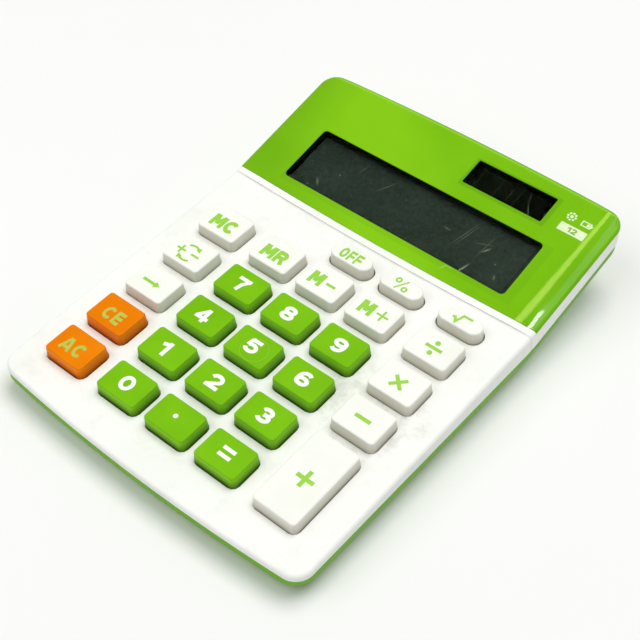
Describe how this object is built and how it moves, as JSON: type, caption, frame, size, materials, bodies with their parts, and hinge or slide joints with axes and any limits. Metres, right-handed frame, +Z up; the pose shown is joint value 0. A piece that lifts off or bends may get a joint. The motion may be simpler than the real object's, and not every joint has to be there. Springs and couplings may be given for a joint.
{
  "type": "desk calculator",
  "caption": "Desk calculator: sloped deck of sprung push keys, raised display panel with a solar window, in a two-part moulded housing on rubber feet.",
  "frame": {"origin": "On the desk, under the centre of the body, between the rubber feet", "axes": "+X to the user's right, +Y away from the user towards the display, +Z up"},
  "size_m": [0.1176, 0.1566, 0.0285],
  "materials": {
    "housing_white": "satin",
    "housing_green": "satin",
    "panel_green": "gloss",
    "clear_lens": "gloss",
    "black_plastic": "matte",
    "lcd_glass": "gloss",
    "ribbon": "satin",
    "solar_glass": "gloss",
    "lead_insulation": "satin",
    "silicone": "matte",
    "board": "satin",
    "epoxy": "satin",
    "steel": "satin",
    "cell_steel": "satin",
    "contact_metal": "satin",
    "foot_rubber": "matte",
    "key_green": "satin",
    "key_white": "satin",
    "key_orange": "satin"
  },
  "bodies": {
    "body": {"battery_cell": "cell_steel", "battery_contact_minus": "contact_metal", "battery_contact_plus": "contact_metal", "battery_cover": "housing_green", "battery_cover_screw": "steel", "battery_leads": "lead_insulation", "board_screws": "steel", "case_screws": "steel", "chip_cover": "epoxy", "display_frame": "black_plastic", "display_panel": "panel_green", "lcd_glass": "lcd_glass", "lcd_holder": "black_plastic", "lcd_lens": "clear_lens", "lcd_ribbon": "ribbon", "lower_housing": "housing_green", "main_board": "board", "rubber_feet": "foot_rubber", "rubber_keypad": "silicone", "solar_cell": "solar_glass", "solar_leads": "lead_insulation", "solar_lens": "clear_lens", "upper_housing": "housing_white"},
    "key_0": {"key_0": "key_green"},
    "key_1": {"key_1": "key_green"},
    "key_2": {"key_2": "key_green"},
    "key_3": {"key_3": "key_green"},
    "key_4": {"key_4": "key_green"},
    "key_5": {"key_5": "key_green"},
    "key_6": {"key_6": "key_green"},
    "key_7": {"key_7": "key_green"},
    "key_8": {"key_8": "key_green"},
    "key_9": {"key_9": "key_green"},
    "key_ac": {"key_ac": "key_orange"},
    "key_back": {"key_back": "key_white"},
    "key_ce": {"key_ce": "key_orange"},
    "key_divide": {"key_divide": "key_white"},
    "key_equals": {"key_equals": "key_green"},
    "key_m_minus": {"key_m_minus": "key_white"},
    "key_m_plus": {"key_m_plus": "key_white"},
    "key_mc": {"key_mc": "key_white"},
    "key_minus": {"key_minus": "key_white"},
    "key_mr": {"key_mr": "key_white"},
    "key_off": {"key_off": "key_white"},
    "key_percent": {"key_percent": "key_white"},
    "key_plus": {"key_plus": "key_white"},
    "key_point": {"key_point": "key_green"},
    "key_root": {"key_root": "key_white"},
    "key_sign": {"key_sign": "key_white"},
    "key_times": {"key_times": "key_white"}
  },
  "joints": [
    {"name": "key_0_press", "type": "slide", "parent": "body", "child": "key_0", "axis": [0, 0.0523, -0.9986], "range_m": [0, 0.0015], "stiffness_N_per_m": 400, "springref_m": -0.0004, "deforming": ["rubber_keypad"]},
    {"name": "key_1_press", "type": "slide", "parent": "body", "child": "key_1", "axis": [0, 0.0523, -0.9986], "range_m": [0, 0.0015], "stiffness_N_per_m": 400, "springref_m": -0.0004, "deforming": ["rubber_keypad"]},
    {"name": "key_2_press", "type": "slide", "parent": "body", "child": "key_2", "axis": [0, 0.0523, -0.9986], "range_m": [0, 0.0015], "stiffness_N_per_m": 400, "springref_m": -0.0004, "deforming": ["rubber_keypad"]},
    {"name": "key_3_press", "type": "slide", "parent": "body", "child": "key_3", "axis": [0, 0.0523, -0.9986], "range_m": [0, 0.0015], "stiffness_N_per_m": 400, "springref_m": -0.0004, "deforming": ["rubber_keypad"]},
    {"name": "key_4_press", "type": "slide", "parent": "body", "child": "key_4", "axis": [0, 0.0523, -0.9986], "range_m": [0, 0.0015], "stiffness_N_per_m": 400, "springref_m": -0.0004, "deforming": ["rubber_keypad"]},
    {"name": "key_5_press", "type": "slide", "parent": "body", "child": "key_5", "axis": [0, 0.0523, -0.9986], "range_m": [0, 0.0015], "stiffness_N_per_m": 400, "springref_m": -0.0004, "deforming": ["rubber_keypad"]},
    {"name": "key_6_press", "type": "slide", "parent": "body", "child": "key_6", "axis": [0, 0.0523, -0.9986], "range_m": [0, 0.0015], "stiffness_N_per_m": 400, "springref_m": -0.0004, "deforming": ["rubber_keypad"]},
    {"name": "key_7_press", "type": "slide", "parent": "body", "child": "key_7", "axis": [0, 0.0523, -0.9986], "range_m": [0, 0.0015], "stiffness_N_per_m": 400, "springref_m": -0.0004, "deforming": ["rubber_keypad"]},
    {"name": "key_8_press", "type": "slide", "parent": "body", "child": "key_8", "axis": [0, 0.0523, -0.9986], "range_m": [0, 0.0015], "stiffness_N_per_m": 400, "springref_m": -0.0004, "deforming": ["rubber_keypad"]},
    {"name": "key_9_press", "type": "slide", "parent": "body", "child": "key_9", "axis": [0, 0.0523, -0.9986], "range_m": [0, 0.0015], "stiffness_N_per_m": 400, "springref_m": -0.0004, "deforming": ["rubber_keypad"]},
    {"name": "key_ac_press", "type": "slide", "parent": "body", "child": "key_ac", "axis": [0, 0.0523, -0.9986], "range_m": [0, 0.0015], "stiffness_N_per_m": 400, "springref_m": -0.0004, "deforming": ["rubber_keypad"]},
    {"name": "key_back_press", "type": "slide", "parent": "body", "child": "key_back", "axis": [0, 0.0523, -0.9986], "range_m": [0, 0.0015], "stiffness_N_per_m": 400, "springref_m": -0.0004, "deforming": ["rubber_keypad"]},
    {"name": "key_ce_press", "type": "slide", "parent": "body", "child": "key_ce", "axis": [0, 0.0523, -0.9986], "range_m": [0, 0.0015], "stiffness_N_per_m": 400, "springref_m": -0.0004, "deforming": ["rubber_keypad"]},
    {"name": "key_divide_press", "type": "slide", "parent": "body", "child": "key_divide", "axis": [0, 0.0523, -0.9986], "range_m": [0, 0.0015], "stiffness_N_per_m": 400, "springref_m": -0.0004, "deforming": ["rubber_keypad"]},
    {"name": "key_equals_press", "type": "slide", "parent": "body", "child": "key_equals", "axis": [0, 0.0523, -0.9986], "range_m": [0, 0.0015], "stiffness_N_per_m": 400, "springref_m": -0.0004, "deforming": ["rubber_keypad"]},
    {"name": "key_m_minus_press", "type": "slide", "parent": "body", "child": "key_m_minus", "axis": [0, 0.0523, -0.9986], "range_m": [0, 0.0015], "stiffness_N_per_m": 400, "springref_m": -0.0004, "deforming": ["rubber_keypad"]},
    {"name": "key_m_plus_press", "type": "slide", "parent": "body", "child": "key_m_plus", "axis": [0, 0.0523, -0.9986], "range_m": [0, 0.0015], "stiffness_N_per_m": 400, "springref_m": -0.0004, "deforming": ["rubber_keypad"]},
    {"name": "key_mc_press", "type": "slide", "parent": "body", "child": "key_mc", "axis": [0, 0.0523, -0.9986], "range_m": [0, 0.0015], "stiffness_N_per_m": 400, "springref_m": -0.0004, "deforming": ["rubber_keypad"]},
    {"name": "key_minus_press", "type": "slide", "parent": "body", "child": "key_minus", "axis": [0, 0.0523, -0.9986], "range_m": [0, 0.0015], "stiffness_N_per_m": 400, "springref_m": -0.0004, "deforming": ["rubber_keypad"]},
    {"name": "key_mr_press", "type": "slide", "parent": "body", "child": "key_mr", "axis": [0, 0.0523, -0.9986], "range_m": [0, 0.0015], "stiffness_N_per_m": 400, "springref_m": -0.0004, "deforming": ["rubber_keypad"]},
    {"name": "key_off_press", "type": "slide", "parent": "body", "child": "key_off", "axis": [0, 0.0523, -0.9986], "range_m": [0, 0.0015], "stiffness_N_per_m": 400, "springref_m": -0.0004, "deforming": ["rubber_keypad"]},
    {"name": "key_percent_press", "type": "slide", "parent": "body", "child": "key_percent", "axis": [0, 0.0523, -0.9986], "range_m": [0, 0.0015], "stiffness_N_per_m": 400, "springref_m": -0.0004, "deforming": ["rubber_keypad"]},
    {"name": "key_plus_press", "type": "slide", "parent": "body", "child": "key_plus", "axis": [0, 0.0523, -0.9986], "range_m": [0, 0.0015], "stiffness_N_per_m": 400, "springref_m": -0.0004, "deforming": ["rubber_keypad"]},
    {"name": "key_point_press", "type": "slide", "parent": "body", "child": "key_point", "axis": [0, 0.0523, -0.9986], "range_m": [0, 0.0015], "stiffness_N_per_m": 400, "springref_m": -0.0004, "deforming": ["rubber_keypad"]},
    {"name": "key_root_press", "type": "slide", "parent": "body", "child": "key_root", "axis": [0, 0.0523, -0.9986], "range_m": [0, 0.0015], "stiffness_N_per_m": 400, "springref_m": -0.0004, "deforming": ["rubber_keypad"]},
    {"name": "key_sign_press", "type": "slide", "parent": "body", "child": "key_sign", "axis": [0, 0.0523, -0.9986], "range_m": [0, 0.0015], "stiffness_N_per_m": 400, "springref_m": -0.0004, "deforming": ["rubber_keypad"]},
    {"name": "key_times_press", "type": "slide", "parent": "body", "child": "key_times", "axis": [0, 0.0523, -0.9986], "range_m": [0, 0.0015], "stiffness_N_per_m": 400, "springref_m": -0.0004, "deforming": ["rubber_keypad"]}
  ]
}
